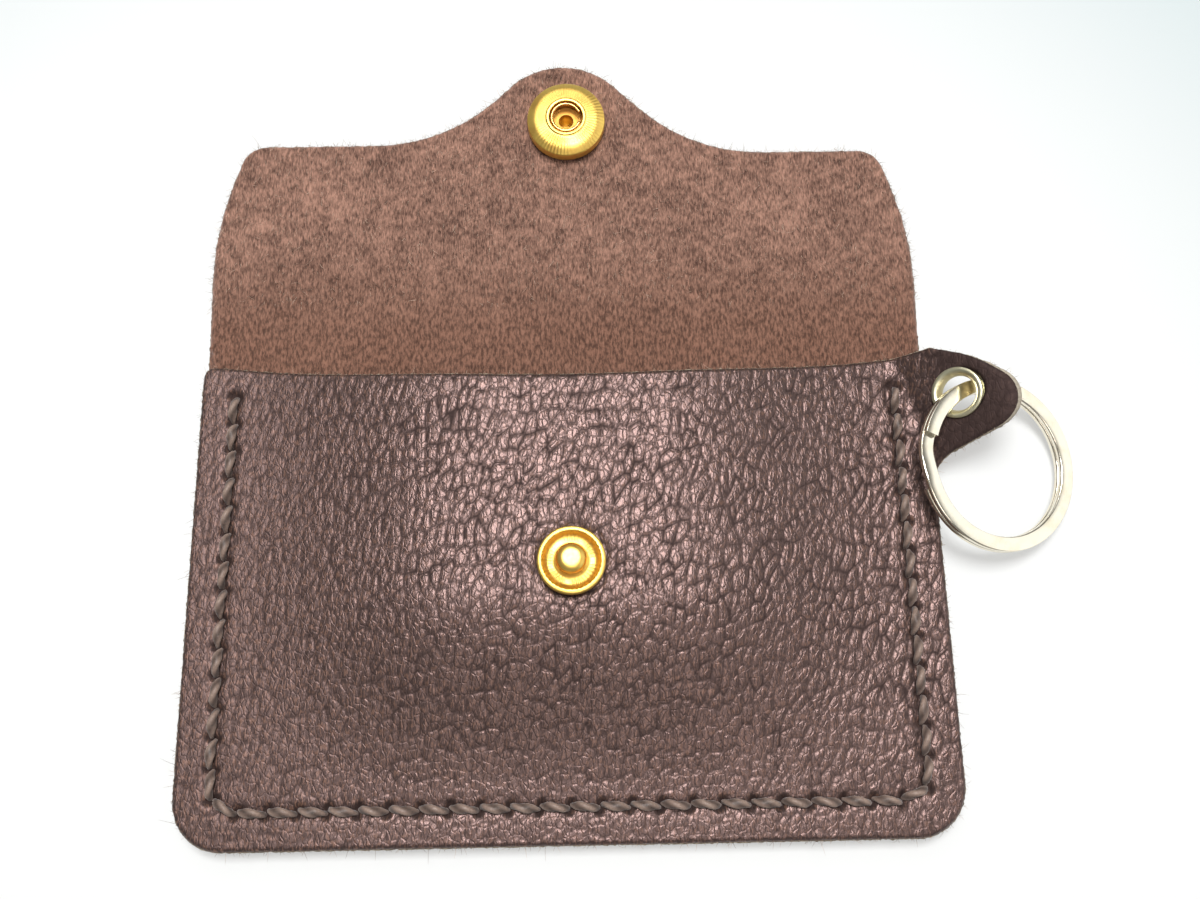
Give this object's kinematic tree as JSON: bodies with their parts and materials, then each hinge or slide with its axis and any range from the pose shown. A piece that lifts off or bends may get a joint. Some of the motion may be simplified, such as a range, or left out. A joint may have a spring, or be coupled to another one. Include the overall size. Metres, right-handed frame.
{
  "type": "keychain card wallet",
  "caption": "Flat leather card pocket, saddle stitched on three sides, with a folding snap flap and a split key ring through an eyelet in a side ear.",
  "frame": {"origin": "centre of the pocket's back face, on the surface that the wallet lies on", "axes": "+X to the key ring, +Y from the pocket to the open flap's tip, +Z out of the front panel"},
  "size_m": [0.1195, 0.1092, 0.0116],
  "materials": {
    "grain_leather": "pebbled dark brown grain, soft sheen",
    "flap_suede": "brown suede, matt nap",
    "waxed_thread": "waxed twisted thread",
    "snap_brass": "bright yellow brass",
    "eyelet_metal": "pale satin plating over brass",
    "ring_metal": "pale gold plating, polished"
  },
  "bodies": {
    "pocket": {"back_panel": "grain_leather", "front_panel": "grain_leather", "saddle_thread": "waxed_thread", "snap_stud": "snap_brass", "stud_post": "snap_brass", "tab_eyelet": "eyelet_metal"},
    "spine": {"flap_spine": "flap_suede"},
    "flap": {"flap": "flap_suede", "snap_cap": "snap_brass", "snap_socket": "snap_brass", "socket_spring": "snap_brass"},
    "ring": {"split_ring": "ring_metal"}
  },
  "joints": [
    {"name": "flap_fold", "type": "hinge", "parent": "pocket", "child": "spine", "pos_m": [0, 0.0321, 0.0016], "axis": [1, 0, 0], "range_deg": [0, 83.25]},
    {"name": "flap_fold_far", "type": "hinge", "parent": "spine", "child": "flap", "pos_m": [0, 0.03825, 0.00217], "axis": [1, 0, 0], "range_deg": [0, 83.25]},
    {"name": "ring_swing", "type": "hinge", "parent": "pocket", "child": "ring", "pos_m": [0.05324, 0.02503, 0.00686], "axis": [-0.5693, -0.1462, 0.809], "range_deg": [-5, 150]}
  ],
  "couplings": [
    {"joint": "flap_fold_far", "follows": "flap_fold", "ratio": 1}
  ]
}
